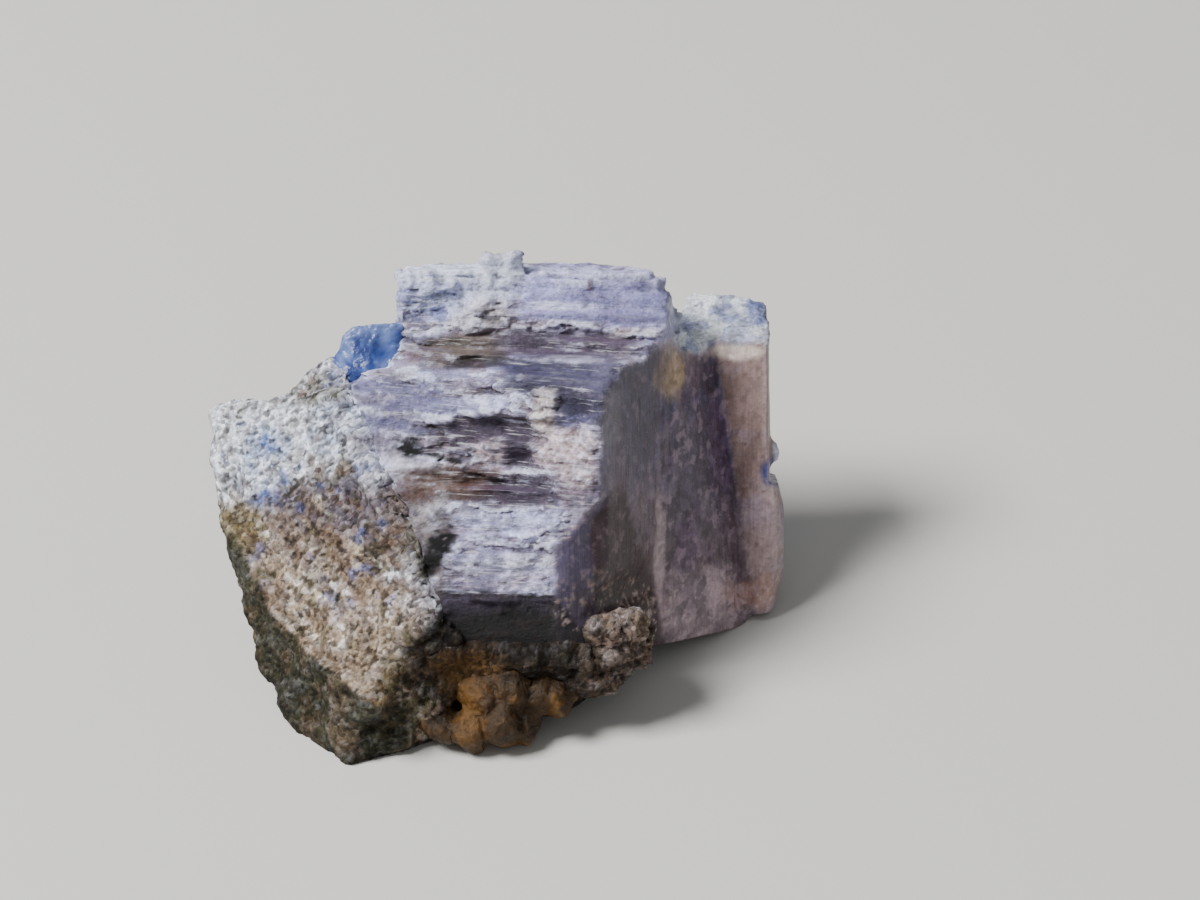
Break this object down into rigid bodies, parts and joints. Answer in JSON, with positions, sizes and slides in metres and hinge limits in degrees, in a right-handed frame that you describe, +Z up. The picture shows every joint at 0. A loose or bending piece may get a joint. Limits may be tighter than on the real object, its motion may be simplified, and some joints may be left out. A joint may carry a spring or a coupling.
{
  "type": "carletonite crystal specimen",
  "caption": "Terraced violet-blue carletonite crystal group on granular rock, with a blue crystal and honey-brown crystals, resting on its flat base.",
  "frame": {"origin": "middle of the specimen's outline box, at the level of its flat base", "axes": "+X to the right along the longest side, from the rock to the end crystal; +Y away from the terraced front, the way the crystal axis leans; +Z up"},
  "size_m": [0.0256, 0.0192, 0.0158],
  "materials": {
    "violet_crystal": "cloudy violet crystal, satin on flat faces and rough white where broken",
    "granular_rock": "rough granular stone, white to greenish brown",
    "blue_crystal": "vivid blue translucent crystal, slightly glossy",
    "honey_crystal": "honey-brown translucent crystal, slightly glossy"
  },
  "bodies": {
    "root": {"carletonite_crystal": "violet_crystal", "matrix_rock": "granular_rock", "blue_crystal": "blue_crystal", "honey_crystals": "honey_crystal"}
  },
  "joints": []
}
